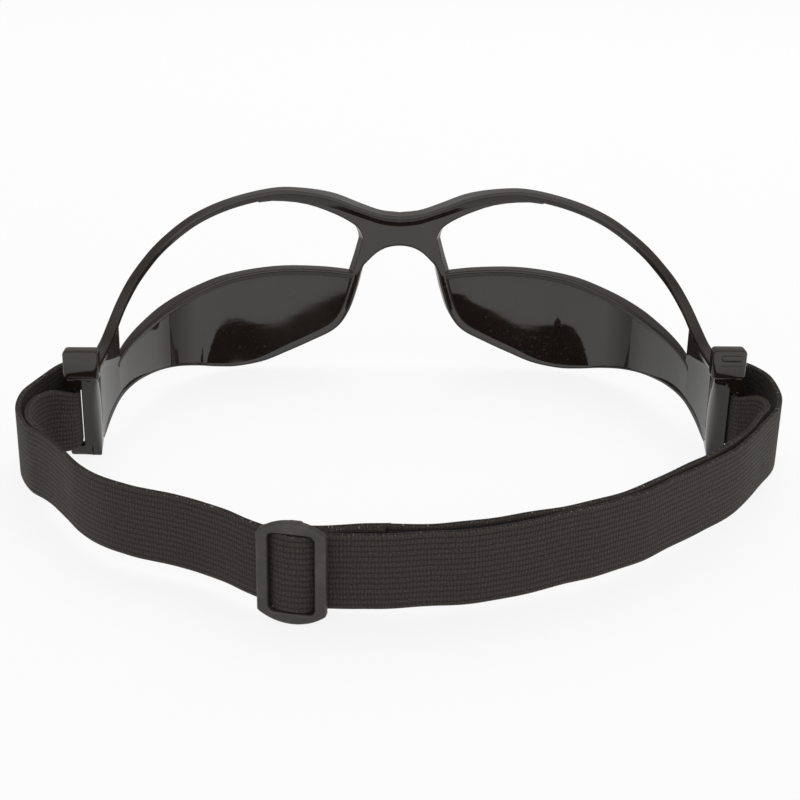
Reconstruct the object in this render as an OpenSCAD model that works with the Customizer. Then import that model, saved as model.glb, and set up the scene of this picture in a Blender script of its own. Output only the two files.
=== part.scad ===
// Wrap-round dribble goggles: one black moulding with a shield across the lower
// half of each eye opening, held on by an elastic head strap with a slide.
// X runs to the wearer's right, Y the way the wearer looks, Z up. Z = 0 is the table.

/* [Wrap of the frame, seen from above] */
// Y of the bridge's outer face
front_y = 69; // [64:0.5:74]
// Radius of the nearly flat front
front_r = 155; // [130:1:200]
// Angle at which the front turns into the corner
front_end = 15; // [13:0.5:17]
// Radius of the corner beside each eye
corner_r = 33; // [30:0.5:36]
// Angle at which the corner turns into the side
corner_end = 66.5; // [63:0.5:68]
// Radius of the side plates
side_r = 104; // [90:1:130]
// Angle of the side plate at the temple
temple_end = 88; // [86:0.5:90]

/* [Walls of the frame] */
// Height of the brow over the table, at the top of each arch
brow_h = 47.7; // [46:0.1:50]
// Height of the brow rail's front face
rail_h = 2.8; // [2.4:0.1:3.4]
// How much lower its back face is
rail_slope = 0.7; // [0.4:0.1:1.2]
// Depth of the brow rail beside the eyes
rail_d = 4; // [3.6:0.1:5.2]
// Depth of the brow rail beside the temples
rail_side_d = 2.8; // [2.3:0.1:3.2]
// Depth of the brow ledge at its widest, beside the bridge
ledge_d = 6.4; // [5:0.1:7.5]
// Thickness of the shields
shield_t = 1.9; // [1.4:0.1:2.4]
// Height of the shields' top edge over the table
shield_h = 27.4; // [24:0.1:29]
// Height of the bead along the shields' top edge
bead_h = 1.7; // [1.3:0.1:2.4]
// How far the bead stands proud of the shield
bead_d = 1.5; // [0.8:0.1:2]
// Width of the rim along the nose and the bottom
rim_w = 1.9; // [1.4:0.1:2.6]
// Depth of that rim
rim_d = 4.4; // [3.4:0.1:5]
// Height of the nose arch over the table
arch_h = 32.8; // [30:0.1:34]
// Least width of the leg between the nose arch and the eye opening
leg_w = 1.8; // [1.5:0.1:2.4]
// Thickness of the side plates
side_t = 1.8; // [1.5:0.1:2.2]

/* [Temple flange] */
// Thickness of the flange that holds the strap
flange_t = 3; // [2.4:0.1:4]
// Width of the bar between the side plate and the slot
bar_w = 3.6; // [3:0.1:4.2]
// Width of the strap slot
slot_w = 1.9; // [1.8:0.1:2.6]
// Width of the post outside the slot
post_w = 1.4; // [1.2:0.1:2]
// Height of the tab under the slot
tab_h = 2.4; // [2:0.1:2.7]
// Height of the block's underside over the table
block_z = 20; // [19:0.1:21]
// Height of the block
block_h = 7; // [6.5:0.1:8.5]
// Width of the block
block_w = 8; // [7.6:0.1:10]
// How far the block stands out behind the flange
block_d = 2.9; // [1.5:0.1:3.4]

/* [Strap] */
// Width of the elastic
strap_w = 15; // [13:0.1:15.6]
// Thickness of the elastic
strap_t = 1.1; // [0.9:0.05:1.2]
// How much larger the radius of the strap's arc behind the head is than the temples' half width
band_out = 6.8; // [4:0.2:9]
// Centre of that arc across the head
band_x = -4.5; // [-8:0.5:2]
// How far that centre lies in front of the flanges
band_ahead = 4.84; // [2:0.02:8]
// Length of the end sewn back on itself at the slide
tail_l = 13; // [10:0.5:16]

/* [Slide] */
// Width of the slide
slide_w = 12.8; // [12:0.1:14]
// Height of the slide
slide_h = 20.2; // [19.8:0.1:20.4]
// Thickness of the slide
slide_t = 2; // [1.5:0.1:2.5]
// Width of its two outer bars
slide_bar_w = 2.1; // [1.6:0.1:2.4]
// Width of the centre bar
centre_w = 2.6; // [2:0.1:3.2]
// Thickness of the centre bar
centre_t = 1.2; // [1:0.1:1.6]
// Height of the two legs that carry the centre bar
leg_h = 1.4; // [1:0.1:2]
// Where the slide sits on the strap, in degrees from the middle of the back
slide_at = -12.9; // [-30:0.1:20]

/* [Fits] */
// Room for the strap in its slots, above and below together
strap_play = 0.7; // [0.5:0.1:1]
// Gap between the strap and hard parts that slide on it
slide_gap = 0.25; // [0.2:0.05:0.4]
// Gap between the strap and the post it pulls on
post_gap = 0.3; // [0.2:0.05:0.5]

/* [Hidden] */
plastic = [0.03, 0.03, 0.03];
elastic = [0.09, 0.085, 0.08];
thread = [0.14, 0.13, 0.12];
$fn = 32;

// Length along the wrap, from the bridge to the ends of the front, corner and side
front_s = front_r * front_end * PI / 180;
corner_s = front_s + corner_r * (corner_end - front_end) * PI / 180;
temple_s = corner_s + side_r * (temple_end - corner_end) * PI / 180;

// Centres of the three arcs
front_c = [0, front_y - front_r];
corner_c = front_c + (front_r - corner_r) * [sin(front_end), cos(front_end)];
side_c = corner_c + (corner_r - side_r) * [sin(corner_end), cos(corner_end)];

// Which way the wall faces, and a point in it a length s from the bridge
function turned(from, radius, s) = from + s / radius * 180 / PI;
function facing(s) =
    s < front_s ? turned(0, front_r, s)
    : s < corner_s ? turned(front_end, corner_r, s - front_s)
    : turned(corner_end, side_r, s - corner_s);
function arc_of(s) =
    s < front_s ? [front_c, front_r]
    : s < corner_s ? [corner_c, corner_r]
    : [side_c, side_r];
function wall(s, depth) =
    let (a = facing(s), arc = arc_of(s))
    arc[0] + (arc[1] - depth) * [sin(a), cos(a)];

// A smooth curve through a few [position, value] pairs
function rise(t, a, b) = (t[b][1] - t[a][1]) / (t[b][0] - t[a][0]);
function span(t, s, i = 0) = i >= len(t) - 2 || s < t[i + 1][0] ? i : span(t, s, i + 1);
function at(t, s) =
    let (
        i = span(t, s),
        step = t[i + 1][0] - t[i][0],
        u = (s - t[i][0]) / step,
        v = 1 - u,
        m0 = rise(t, max(i - 1, 0), i + 1) * step,
        m1 = rise(t, i, min(i + 2, len(t) - 1)) * step
    )
    t[i][1] * (1 + 2 * u) * v * v + m0 * u * v * v
        + t[i + 1][1] * u * u * (3 - 2 * u) - m1 * u * u * v;

// A smooth line through a few points
function mixed(a, b, c, d, u) =
    (2 * b + (c - a) * u + (2 * a - 5 * b + 4 * c - d) * u * u
        + (3 * b - a - 3 * c + d) * u * u * u) / 2;
function smooth(p, parts) = [
    for (i = [0 : len(p) - 2], k = [0 : parts - 1])
        mixed(p[max(i - 1, 0)], p[i], p[i + 1], p[min(i + 2, len(p) - 1)], k / parts),
    p[len(p) - 1]
];
function flip(p) = [for (i = [len(p) - 1 : -1 : 0]) p[i]];
function steps(from, to, n) = [for (i = [0 : n]) from + (to - from) * i / n];

// Where the eye opening ends, how far the flange's bar laps the side plate,
// and the frame's outlines as heights along the wrap
eye_end = 90;
lap = 2;
brow_top = [
    [0, brow_h - 7], [5, brow_h - 6.4], [10, brow_h - 4.6], [17, brow_h - 1.8], [25, brow_h - 0.3],
    [32, brow_h], [42, brow_h - 1.7], [52.7, brow_h - 4.7], [63, brow_h - 8.8], [71, brow_h - 11.9],
    [79, brow_h - 15], [86, brow_h - 18.5], [92, brow_h - 21.8], [98, brow_h - 24.3],
    [temple_s, brow_h - 25.7]
];
shield_top = [
    [10, shield_h - 2], [20, shield_h - 0.6], [32, shield_h], [44.7, shield_h - 1.2],
    [54, shield_h - 3.1], [64.3, shield_h - 5.2], [73.3, shield_h - 6.8], [79, shield_h - 7.8],
    [85, shield_h - 9.2], [eye_end, shield_h - 11]
];
// The nose arch as [fall from its top, half width]
arch_fall = [[0, 0], [0.5, 3.4], [2, 6.2], [4.7, 9], [6.9, 10.1], [12, 11.4], [18, 13.5], [22.4, 16.9]];
bottom = [
    [10, arch_h - 6.6], [11.4, arch_h - 12], [13.5, arch_h - 18], [16.9, arch_h - 22.4],
    [23.2, 6.4], [29.7, 3.4], [36, 1.2], [43, 0.4], [49, 1.2], [55, 2.9], [62, 4.8], [69, 6.1],
    [75, 6.9], [82, 7.3], [90, 6.8], [98, 4.8], [103, 2.8], [temple_s, 0]
];
rail_height = [
    [8, rail_h + 5], [13, rail_h + 3.2], [17, rail_h + 2.2], [24, rail_h + 0.7], [32, rail_h],
    [80, rail_h], [eye_end, rail_h - 0.3], [temple_s, rail_h + 0.6]
];
rail_depth = [
    [0, rail_d], [7, rail_d + 0.3], [15, ledge_d], [24, rail_d + 0.8], [32, rail_d],
    [53, rail_d - 1], [66, rail_side_d - 0.3], [80, rail_side_d - 0.3], [temple_s, rail_side_d]
];
rim_depth = [
    [0, rim_d], [9, rim_d], [13, rim_d - 0.7], [20, rim_d - 1.1], [38, shield_t + 0.9], [60, shield_t + 0.8],
    [eye_end, side_t + 0.3], [temple_s, lap - 0.1]
];
bead_depth = [[10, bead_d], [58, bead_d], [78, bead_d - 0.6], [eye_end, 0.2], [eye_end + 1, 0.2]];

// The nose side from the front, as [across, height]: the arch, then the eye opening's edge,
// placed by its share of the way down the opening and kept a leg's width from the arch
arch_edge = concat(
    [for (p = arch_fall) [p[1], arch_h - p[0]]],
    [[23.2, 6.4], [29.7, 3.4], [36, 1.2]]
);
nose_top = brow_h - 6.3;
nose_low = shield_h + 1.2;
nose_edge = [
    for (p = [[17, 0], [13.3, 0.156], [10.5, 0.328], [9.3, 0.477], [9.1, 0.641], [9.7, 0.898], [10.4, 1]])
        let (z = nose_top - p[1] * (nose_top - nose_low))
        [max(p[0], at(arch_fall, max(arch_h - z, 0)) + leg_w), z]
];

// A ring of eight points: one upright cut through a wall, with eased corners,
// its underside rising by slope from the outer face to the inner
function cut(s, z0, z1, d0, d1, ease, slope = 0) = [
    for (q = [
        [d0, z0 + ease], [d0, z1 - ease], [d0 + ease, z1], [d1 - ease, z1],
        [d1, z1 - ease], [d1, z0 + slope + ease], [d1 - ease, z0 + slope], [d0 + ease, z0]
    ])
        let (p = wall(s, q[0]))
        [p.x, p.y, q[1]]
];

module loft(rings) {
    n = len(rings[0]);
    m = len(rings);
    polyhedron(
        points = [for (r = rings) each r],
        faces = [
            [for (i = [0 : n - 1]) i],
            [for (i = [n - 1 : -1 : 0]) (m - 1) * n + i],
            for (j = [0 : m - 2], i = [0 : n - 1])
                let (a = j * n + i, b = j * n + (i + 1) % n)
                each [[a, a + n, b], [b, a + n, b + n]]
        ]
    );
}

// Rail over the eye and down to the temple
module brow_rail() {
    loft([
        for (s = steps(8.5, temple_s, 42))
            let (top = at(brow_top, s))
            cut(s, top - at(rail_height, s), top, 0, at(rail_depth, s), 0.35, rail_slope)
    ]);
}

// Between the eyes: bridge, nose arch and the rim down each side of it
module nose_piece() {
    rim_from = 4;
    rim_side = [
        for (p = smooth([for (i = [rim_from : len(arch_edge) - 1]) arch_edge[i]], 3))
            p + rim_w * [0.85, 0.75]
    ];
    intersection() {
        translate([0, front_y + 1, 0])
            rotate([90, 0, 0])
                linear_extrude(2 * ledge_d)
                    polygon(concat(
                        smooth(arch_edge, 3),
                        flip(rim_side),
                        flip(smooth(nose_edge, 3)),
                        [for (s = [17, 13.5, 10, 7, 5, 2.5, 0]) [s, at(brow_top, s) - 0.05]]
                    ));
        linear_extrude(brow_h)
            polygon(concat(
                [for (s = steps(0, 42, 10)) wall(s, 0.05)],
                [for (s = steps(42, 0, 14)) wall(s, at(rim_depth, s))]
            ));
    }
}

// Shield across the lower half of the eye, with the bead on top and the rim below.
// Its inner face comes out to the side plate's, so that no step is left between them.
skin = 0.6;
shield_depth = [[10, skin + shield_t], [66, skin + shield_t], [86, side_t + 0.1], [eye_end + 1, side_t + 0.1]];
module shield() {
    in_rim = 0.6;
    nose_s = at(arch_fall, arch_h - shield_h + 2) + in_rim;
    loft([
        for (s = concat(steps(nose_s, 24, 12), steps(26, eye_end + 1, 24)))
            let (low = min(at(bottom, max(s - in_rim, 10)) + in_rim, at(shield_top, s) - 2.5))
            cut(s, low, max(at(shield_top, s) - 0.5, low + 0.8), skin, at(shield_depth, s), 0.3)
    ]);
    loft([
        for (s = concat([nose_s], steps(14, eye_end + 1, 22)))
            let (z = at(shield_top, s))
            cut(s, z - bead_h, z, skin - 0.2, at(shield_depth, s) + at(bead_depth, s), 0.5)
    ]);
    loft([
        for (s = steps(34, temple_s, 26))
            let (z = at(bottom, s))
            cut(s, z, z + rim_w, 0, at(rim_depth, s), 0.4, 0.8)
    ]);
}

// Side plate from the end of the eye opening to the temple
module side_plate() {
    thick = [[eye_end, side_t], [98, side_t], [temple_s, lap - 0.2]];
    loft([
        for (s = steps(eye_end, temple_s, 10))
            cut(s, at(bottom, s) + 0.5, at(brow_top, s) - 0.5, 0.1, at(thick, s), 0.3)
    ]);
}

// Plate across the end of the side with the strap slot in it, and the block over it
temple = wall(temple_s, 0);
flange_y = temple.y;
bar_x = temple.x - lap;
slot_x = bar_x + bar_w;
flange_out = slot_x + slot_w + post_w;
slot_h = strap_w + strap_play;

module rounded_bar(size, r) {
    hull()
        for (x = [r, size.x - r], y = [r, size.y - r], z = [r, size.z - r])
            translate([x, y, z])
                sphere(r, $fn = 12);
}

module temple_flange() {
    corner = 0.6;
    difference() {
        union() {
            translate([bar_x, flange_y, 0])
                rounded_bar([flange_out - bar_x, flange_t, block_z + block_h - 1.2], 0.5);
            translate([flange_out - block_w, flange_y - block_d, block_z])
                rounded_bar([block_w, block_d + 1, block_h], 0.9);
        }
        translate([slot_x, flange_y - 1, tab_h])
            hull()
                for (x = [corner, slot_w - corner], z = [corner, slot_h - corner])
                    translate([x, 0, z])
                        rotate([-90, 0, 0])
                            cylinder(flange_t + 2, r = corner, $fn = 16);
    }
}

// Small raised pad on the back of the right block
module block_pad() {
    pad = [5.2, 1.1, 1.6];
    translate([flange_out - pad.x - 1.2, flange_y - block_d - 0.4, block_z + block_h - pad.z - 1])
        rounded_bar(pad, 0.4);
}

module half_frame() {
    nose_piece();
    brow_rail();
    shield();
    side_plate();
    temple_flange();
}

module frame() {
    color(plastic)
        union() {
            half_frame();
            block_pad();
            mirror([1, 0, 0])
                half_frame();
        }
}

// The strap's arc behind the head, and a point on it at an angle from the middle of the back
band_r = temple.x + band_out;
band_y = flange_y + band_ahead;
function on_arc(angle, inward = 0) =
    [band_x, band_y] + (band_r - inward) * [sin(angle), -cos(angle)];

// A point near a temple, measured from where the strap lies in the slot
strap_x = slot_x + slot_w - post_gap - strap_t / 2;
function by_slot(side, out, forward) =
    [side * (strap_x + out), flange_y + flange_t / 2 + forward];

// Strap standing on edge along a line in plan
strap_z = tab_h + strap_play / 2;
mid_z = strap_z + strap_w / 2;
function beside(p, i, w) =
    let (t = p[min(i + 1, len(p) - 1)] - p[max(i - 1, 0)])
    p[i] + w * [-t.y, t.x] / norm(t);
module webbing(line) {
    last = len(line) - 1;
    translate([0, 0, strap_z])
        linear_extrude(strap_w)
            polygon(concat(
                [for (i = [0 : last]) beside(line, i, strap_t / 2)],
                [for (i = [last : -1 : 0]) beside(line, i, -strap_t / 2)]
            ));
}

// Ends of the true arc, and how far inside the band the layers at the slide lie
band_from = -62;
band_to = 52;
tail_in = strap_t + slide_gap;
return_in = tail_in + strap_t + centre_t;
layer_gap = 0.03;
layers = strap_t + layer_gap;
seam_gap = 0.15;
past_seam = 0.6;
seam_w = 3.2;
tail_turn = asin((tail_l + past_seam + seam_gap) / (band_r - return_in));
half_slot = flange_t / 2 + 0.1;

module strap_band() {
    color(elastic)
        webbing([for (a = steps(band_from, band_to, 40)) on_arc(a)]);
}

// Sewn end inside the band, forward through the slot, round the post, back to the band
left_seam = [on_arc(-65.2, layers - 1.2), on_arc(-68.2, layers - 2.4)];
module strap_left_loop() {
    tail = [
        left_seam[1], by_slot(-1, 6.6, -21.2), by_slot(-1, 7.7, -16), by_slot(-1, 7.5, -11),
        by_slot(-1, 5.7, -7.3), by_slot(-1, 2.4, -5.6), by_slot(-1, 0.4, -4.2),
        by_slot(-1, 0, -half_slot), by_slot(-1, 0, half_slot), by_slot(-1, 0.1, 5),
        by_slot(-1, 0.9, 9.9), by_slot(-1, 2.85, 11.9), by_slot(-1, 5.4, 9.2), by_slot(-1, 7.5, 4.6),
        by_slot(-1, 9.2, -1), by_slot(-1, 10.4, -6.8), by_slot(-1, 10.5, -12), by_slot(-1, 9.6, -17.2),
        by_slot(-1, 7.8, -22.2), on_arc(-68, -2.55), on_arc(-65, -1.3), on_arc(band_from)
    ];
    color(elastic)
        webbing(concat([left_seam[0]], smooth(tail, 4)));
}

module strap_right_loop() {
    color(elastic)
        webbing(smooth([
            on_arc(band_to), on_arc(57.6, -1.45), on_arc(63.5, -3.25), on_arc(71.1, -5.2),
            by_slot(1, 6.2, -13.6), by_slot(1, 8.8, -4.6), by_slot(1, 9, 5), by_slot(1, 7.1, 12),
            by_slot(1, 4.3, 14.9), by_slot(1, 1.7, 12.6), by_slot(1, 0.4, 7.4),
            by_slot(1, 0, half_slot), by_slot(1, 0, -half_slot)
        ], 4));
}

// Inner layer from the right slot back to the slide
module strap_return() {
    close = [[50, layers + 0.2], [40, layers + 0.4], [30, layers + 1], [20, return_in - 0.5]];
    color(elastic)
        webbing(smooth(concat(
            [
                by_slot(1, 0, -half_slot - seam_gap), by_slot(1, 0.4, -4.1), by_slot(1, 2.3, -5.9),
                by_slot(1, 4.3, -8.4), by_slot(1, 4.4, -12.4), by_slot(1, 1.5, -17.3),
                on_arc(70, -3.4), on_arc(63.5, -1.7), on_arc(57, 0.15), on_arc(53.5, 1)
            ],
            [for (c = close) on_arc(c[0], c[1])],
            [for (a = [10, slide_at + tail_turn + 6, slide_at + tail_turn]) on_arc(a, return_in)]
        ), 3));
}

// Children placed with the strap's middle at the slide as origin, outward along -Y
module by_slide() {
    translate([band_x, band_y, 0])
        rotate([0, 0, slide_at])
            translate([0, -band_r, 0])
                children();
}
function in_layer(x, inward) = [x, inward + x * x / 2 / band_r];

// End of the strap, wrapped round the centre bar and sewn back on itself
end_seam = [in_layer(tail_l - past_seam, return_in), in_layer(tail_l - past_seam - seam_w, return_in)];
module strap_end_loop() {
    bend = (return_in - tail_in) / 2;
    turn_x = -centre_w / 2 - 0.1;
    color(elastic)
        by_slide()
            webbing(concat(
                [in_layer(tail_l + past_seam, return_in)],
                end_seam,
                [in_layer(6, return_in), in_layer(3, return_in), [1.4, return_in]],
                [
                    for (a = steps(90, 270, 10))
                        [turn_x + bend * cos(a), tail_in + bend + bend * sin(a)]
                ],
                [[1.4, tail_in], [3.6, tail_in + 0.2]],
                smooth([
                    in_layer(6, tail_in + 0.55), in_layer(9, return_in - layers - 0.1),
                    in_layer(11, return_in - layers), in_layer(tail_l, return_in - layers)
                ], 2)
            ));
}

// Flat plate with a window, and a centre bar set back behind the strap
module slide_buckle() {
    window = [slide_w - 2 * slide_bar_w, strap_w + strap_play];
    plate_y = -strap_t / 2 - slide_gap - slide_t;
    bar_y = tail_in + strap_t / 2;
    color(plastic)
        by_slide()
            translate([0, plate_y, mid_z])
                rotate([-90, 0, 0]) {
                    linear_extrude(slide_t)
                        difference() {
                            slide_outline();
                            square(window, center = true);
                        }
                    difference() {
                        linear_extrude(bar_y + centre_t - plate_y)
                            square([centre_w, window.y + 2 * leg_h], center = true);
                        translate([-centre_w, -window.y / 2, -1])
                            cube([2 * centre_w, window.y, bar_y - plate_y + 1]);
                    }
                }
}

module slide_outline() {
    intersection() {
        square([slide_w, slide_h], center = true);
        circle(slide_h / 2);
    }
}

// A row of zigzag stitches on the inner face of a strap, between two points of its middle
module bartack(seam) {
    stitch_t = 0.3;
    lean = 0.5;
    teeth = 16;
    along = seam[1] - seam[0];
    wide = norm(along) - 2 * lean - 0.4;
    high = strap_w - 2.4;
    zigzag = [for (i = [0 : teeth]) [(i % 2 - 0.5) * wide, (i / teeth - 0.5) * high]];
    translate([seam[0].x + along.x / 2, seam[0].y + along.y / 2, mid_z])
        rotate([0, 0, atan2(along.y, along.x)])
            translate([0, -strap_t / 2, 0])
                rotate([90, 0, 0])
                    linear_extrude(stitch_t)
                        polygon(concat(
                            [for (p = zigzag) p - [lean, 0]],
                            [for (p = flip(zigzag)) p + [lean, 0]]
                        ));
}

module left_bartack() {
    color(thread)
        bartack(left_seam);
}

module end_bartack() {
    color(thread)
        by_slide()
            bartack(end_seam);
}

frame();
slide_buckle();
strap_left_loop();
strap_band();
strap_right_loop();
strap_return();
strap_end_loop();
left_bartack();
end_bartack();
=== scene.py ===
import bpy
import bmesh
import math
from mathutils import Vector, Matrix
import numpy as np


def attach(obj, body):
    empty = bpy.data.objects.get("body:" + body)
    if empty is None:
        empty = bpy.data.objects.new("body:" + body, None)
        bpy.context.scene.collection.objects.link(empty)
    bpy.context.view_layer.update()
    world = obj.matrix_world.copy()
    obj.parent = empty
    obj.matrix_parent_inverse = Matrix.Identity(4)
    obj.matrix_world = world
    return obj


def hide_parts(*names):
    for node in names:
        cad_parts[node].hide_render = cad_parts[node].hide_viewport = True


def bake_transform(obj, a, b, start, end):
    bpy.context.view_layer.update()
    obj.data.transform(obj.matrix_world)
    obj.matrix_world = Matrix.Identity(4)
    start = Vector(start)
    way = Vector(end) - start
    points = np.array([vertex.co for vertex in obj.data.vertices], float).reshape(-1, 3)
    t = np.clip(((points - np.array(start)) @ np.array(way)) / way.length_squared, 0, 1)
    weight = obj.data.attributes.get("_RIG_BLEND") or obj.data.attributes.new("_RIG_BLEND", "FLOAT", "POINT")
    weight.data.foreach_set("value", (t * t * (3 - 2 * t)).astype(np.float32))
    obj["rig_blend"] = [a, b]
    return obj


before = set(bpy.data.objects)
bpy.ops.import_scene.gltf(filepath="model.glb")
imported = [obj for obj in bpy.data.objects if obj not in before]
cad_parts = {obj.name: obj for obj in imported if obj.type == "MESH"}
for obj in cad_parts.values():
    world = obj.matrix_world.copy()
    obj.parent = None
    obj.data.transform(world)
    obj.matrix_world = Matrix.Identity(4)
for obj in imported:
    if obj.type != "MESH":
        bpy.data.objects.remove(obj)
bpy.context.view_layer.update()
mm = 0.001
print("frame loaded:", len(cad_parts), "nodes")


# Shader helpers: a wrapped socket that adds Math nodes when Python maths is used on it

class Wire:
    def __init__(self, paint, socket):
        self.paint, self.socket = paint, socket

    def maths(self, operation, *values):
        return self.paint.node("ShaderNodeMath", {"operation": operation}, dict(enumerate(values)))

    def __add__(self, other): return self.maths("ADD", self, other)
    def __radd__(self, other): return self.maths("ADD", other, self)
    def __sub__(self, other): return self.maths("SUBTRACT", self, other)
    def __rsub__(self, other): return self.maths("SUBTRACT", other, self)
    def __mul__(self, other): return self.maths("MULTIPLY", self, other)
    def __rmul__(self, other): return self.maths("MULTIPLY", other, self)
    def __truediv__(self, other): return self.maths("DIVIDE", self, other)
    def __rtruediv__(self, other): return self.maths("DIVIDE", other, self)
    def __pow__(self, other): return self.maths("POWER", self, other)
    def __rpow__(self, other): return self.maths("POWER", other, self)
    def sine(self): return self.maths("SINE", self)
    def part(self): return self.maths("FRACT", self)
    def size(self): return self.maths("ABSOLUTE", self)

    def ramp(self, low, high):
        # 0 below low, 1 above high, eased between them
        return self.paint.node("ShaderNodeMapRange", {"interpolation_type": "SMOOTHSTEP"},
                               {"Value": self, "From Min": low, "From Max": high})


class Paint:
    def __init__(self, owner):
        # the nodes of a new material or world
        owner.use_nodes = True
        self.owner, self.tree = owner, owner.node_tree
        self.shader = self.tree.nodes.get("Principled BSDF")

    def node(self, kind, settings=None, inputs=None, output=0):
        made = self.tree.nodes.new(kind)
        for key, value in (settings or {}).items():
            setattr(made, key, value)
        for key, value in (inputs or {}).items():
            self.feed(made.inputs[key], value)
        return Wire(self, made.outputs[output])

    def feed(self, socket, value):
        if isinstance(value, Wire):
            self.tree.links.new(value.socket, socket)
        elif socket.type == "RGBA" and len(value) == 3:
            socket.default_value = (*value, 1)
        else:
            socket.default_value = value

    def place(self):
        return self.node("ShaderNodeTexCoord", output="Object")

    def attribute(self, name):
        return self.node("ShaderNodeAttribute", {"attribute_name": name}, output="Fac")

    def stretched(self, vector, scale):
        return self.node("ShaderNodeMapping", {}, {"Vector": vector, "Scale": scale})

    def noise(self, vector, scale, detail, rough=0.55):
        inputs = {"Vector": vector, "Scale": scale, "Detail": detail, "Roughness": rough}
        return self.node("ShaderNodeTexNoise", {}, inputs, "Fac")

    def blendColours(self, share, low, high):
        return self.node("ShaderNodeMix", {"data_type": "RGBA"}, {0: share, 6: low, 7: high}, 2)

    def together(self, x, y, z):
        return self.node("ShaderNodeCombineXYZ", {}, {"X": x, "Y": y, "Z": z})

    def bump(self, height, depth, strength, **normal):
        inputs = {"Height": height, "Distance": depth, "Strength": strength, **normal}
        return self.node("ShaderNodeBump", {}, inputs)

    def finish(self, colour, rough, normal=None, **constants):
        self.feed(self.shader.inputs["Base Color"], colour)
        self.feed(self.shader.inputs["Roughness"], rough)
        if normal:
            self.feed(self.shader.inputs["Normal"], normal)
        for key, value in constants.items():
            self.shader.inputs[key.replace("_", " ")].default_value = value
        return self.owner


# Mouldings in glossy black: handling smears, faint flow marks and fine scratches
glossBlack = {"dark": (0.0135, 0.0088, 0.0066), "light": (0.024, 0.018, 0.015), "rough": 0.015,
              "smears": 0.06}


def makeGlossBlack():
    p = Paint(bpy.data.materials.new("gloss_black_moulding"))
    place = p.place()
    smears = p.noise(place, 42.0, 4.0, 0.6)
    flow = p.noise(p.stretched(place, (60.0, 60.0, 260.0)), 1.0, 2.0)
    specks = p.noise(place, 1500.0, 1.0).ramp(0.74, 0.8)
    scratches = p.noise(p.stretched(place, (900.0, 120.0, 2600.0)), 1.0, 2.0, 0.7).ramp(0.68, 0.74)
    worn = smears.ramp(0.35, 0.75) * 0.6 + flow * 0.3 + specks * 0.5
    colour = p.blendColours(worn, glossBlack["dark"], glossBlack["light"])
    dull = smears.ramp(0.4, 0.8) * glossBlack["smears"] + flow * 0.04
    rough = dull + scratches * 0.16 + specks * 0.2 + glossBlack["rough"]
    # the mark "lean" tips the shine of a face up or down, not its form
    upward = p.together(0.0, 0.0, p.attribute("lean"))
    face = p.node("ShaderNodeNewGeometry", output="Normal")
    tilted = p.node("ShaderNodeVectorMath", {"operation": "ADD"}, {0: face, 1: upward})
    lean = p.node("ShaderNodeVectorMath", {"operation": "NORMALIZE"}, {0: tilted})
    height = flow * 0.6 + smears * 0.5 - scratches * 0.25
    return p.finish(colour, rough, p.bump(height, 0.00003, 0.5, Normal=lean))


# The slide: satin black with a spark-eroded grain, rubbed smoother in patches
satinBlack = {"dark": (0.026, 0.023, 0.021), "light": (0.06, 0.052, 0.047), "rough": 0.42}


def makeSatinBlack():
    p = Paint(bpy.data.materials.new("satin_black_slide"))
    place = p.place()
    grain = p.noise(place, 2400.0, 2.0)
    rubbed = p.noise(place, 180.0, 4.0, 0.65)
    nicks = p.noise(p.stretched(place, (2200.0, 2200.0, 500.0)), 1.0, 2.0, 0.7).ramp(0.68, 0.74)
    worn = rubbed.ramp(0.4, 0.8) + nicks * 0.4
    colour = p.blendColours(worn, satinBlack["dark"], satinBlack["light"])
    rough = satinBlack["rough"] + grain * 0.14 - rubbed.ramp(0.5, 0.8) * 0.12
    return p.finish(colour, rough, p.bump(grain * 0.7 - nicks * 0.6, 0.00006, 0.6))


# Woven elastic: ribs along the strap, each a small braid, with lighter selvedges (their own fuzz and a
# painted highlight) and lint
elastic = {"dark": (0.003, 0.0021, 0.0015), "light": (0.056, 0.0425, 0.033), "lint": (0.26, 0.24, 0.22),
           "ribs": 14, "stroke": 0.62}


def makeElastic(width):
    p = Paint(bpy.data.materials.new("woven_elastic"))
    along, across = p.attribute("along"), p.attribute("across")
    waver = p.noise(p.together(along * 0.35, across * 0.3, 5.0), 1.0, 2.0) - 0.5
    ribPlace = ((across + waver * 0.2) * (elastic["ribs"] / width)).part() - 0.5
    gap = (ribPlace.size() * 2.0) ** 4.0
    slant = ribPlace.size() * 0.5 + waver * 2.0
    stroke = ((along / elastic["stroke"] + slant) * (2 * math.pi)).sine() * 0.5 + 0.5
    patch = p.noise(p.together(along * 0.11, across * 0.5, 0.0), 1.0, 4.0, 0.6)
    yarn = p.noise(p.together(along * 1.7, across * 2.9, 0.0), 1.0, 3.0, 0.7)
    fleck = p.noise(p.together(along * 2.6, across * 3.8, 7.0), 1.0, 2.0, 0.6)
    # edge is 1 along both selvedges: below, edge * 0.2 lightens them, partly their fuzzy tone and partly a
    # painted highlight, and it gathers lint there
    edge = (across - width / 2).size().ramp(width / 2 - 0.6, width / 2 - 0.05)
    height = (1.0 - gap) * 0.5 + stroke * 0.25 + yarn * 0.5
    ribsAndEdgeHighlight = 0.21 - gap * 0.8 + stroke * 0.34 + edge * 0.2
    shade = ribsAndEdgeHighlight + (patch - 0.5) * 0.25 + (yarn - 0.5) * 1.15 + (fleck - 0.5) * 0.9
    woven = p.blendColours(shade.ramp(-0.1, 1.05), elastic["dark"], elastic["light"])
    lint = fleck.ramp(0.62, 0.7) * (edge * 0.9 + 0.14)
    colour = p.blendColours(lint, woven, elastic["lint"])
    return p.finish(colour, 0.92 - height * 0.12, p.bump(height, 0.0002, 0.9),
                    Sheen_Weight=0.02, Sheen_Roughness=0.45)


# Sewing thread of the two seams
thread = {"dark": (0.02, 0.018, 0.016), "light": (0.1, 0.09, 0.08), "twist": 0.35}


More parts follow.
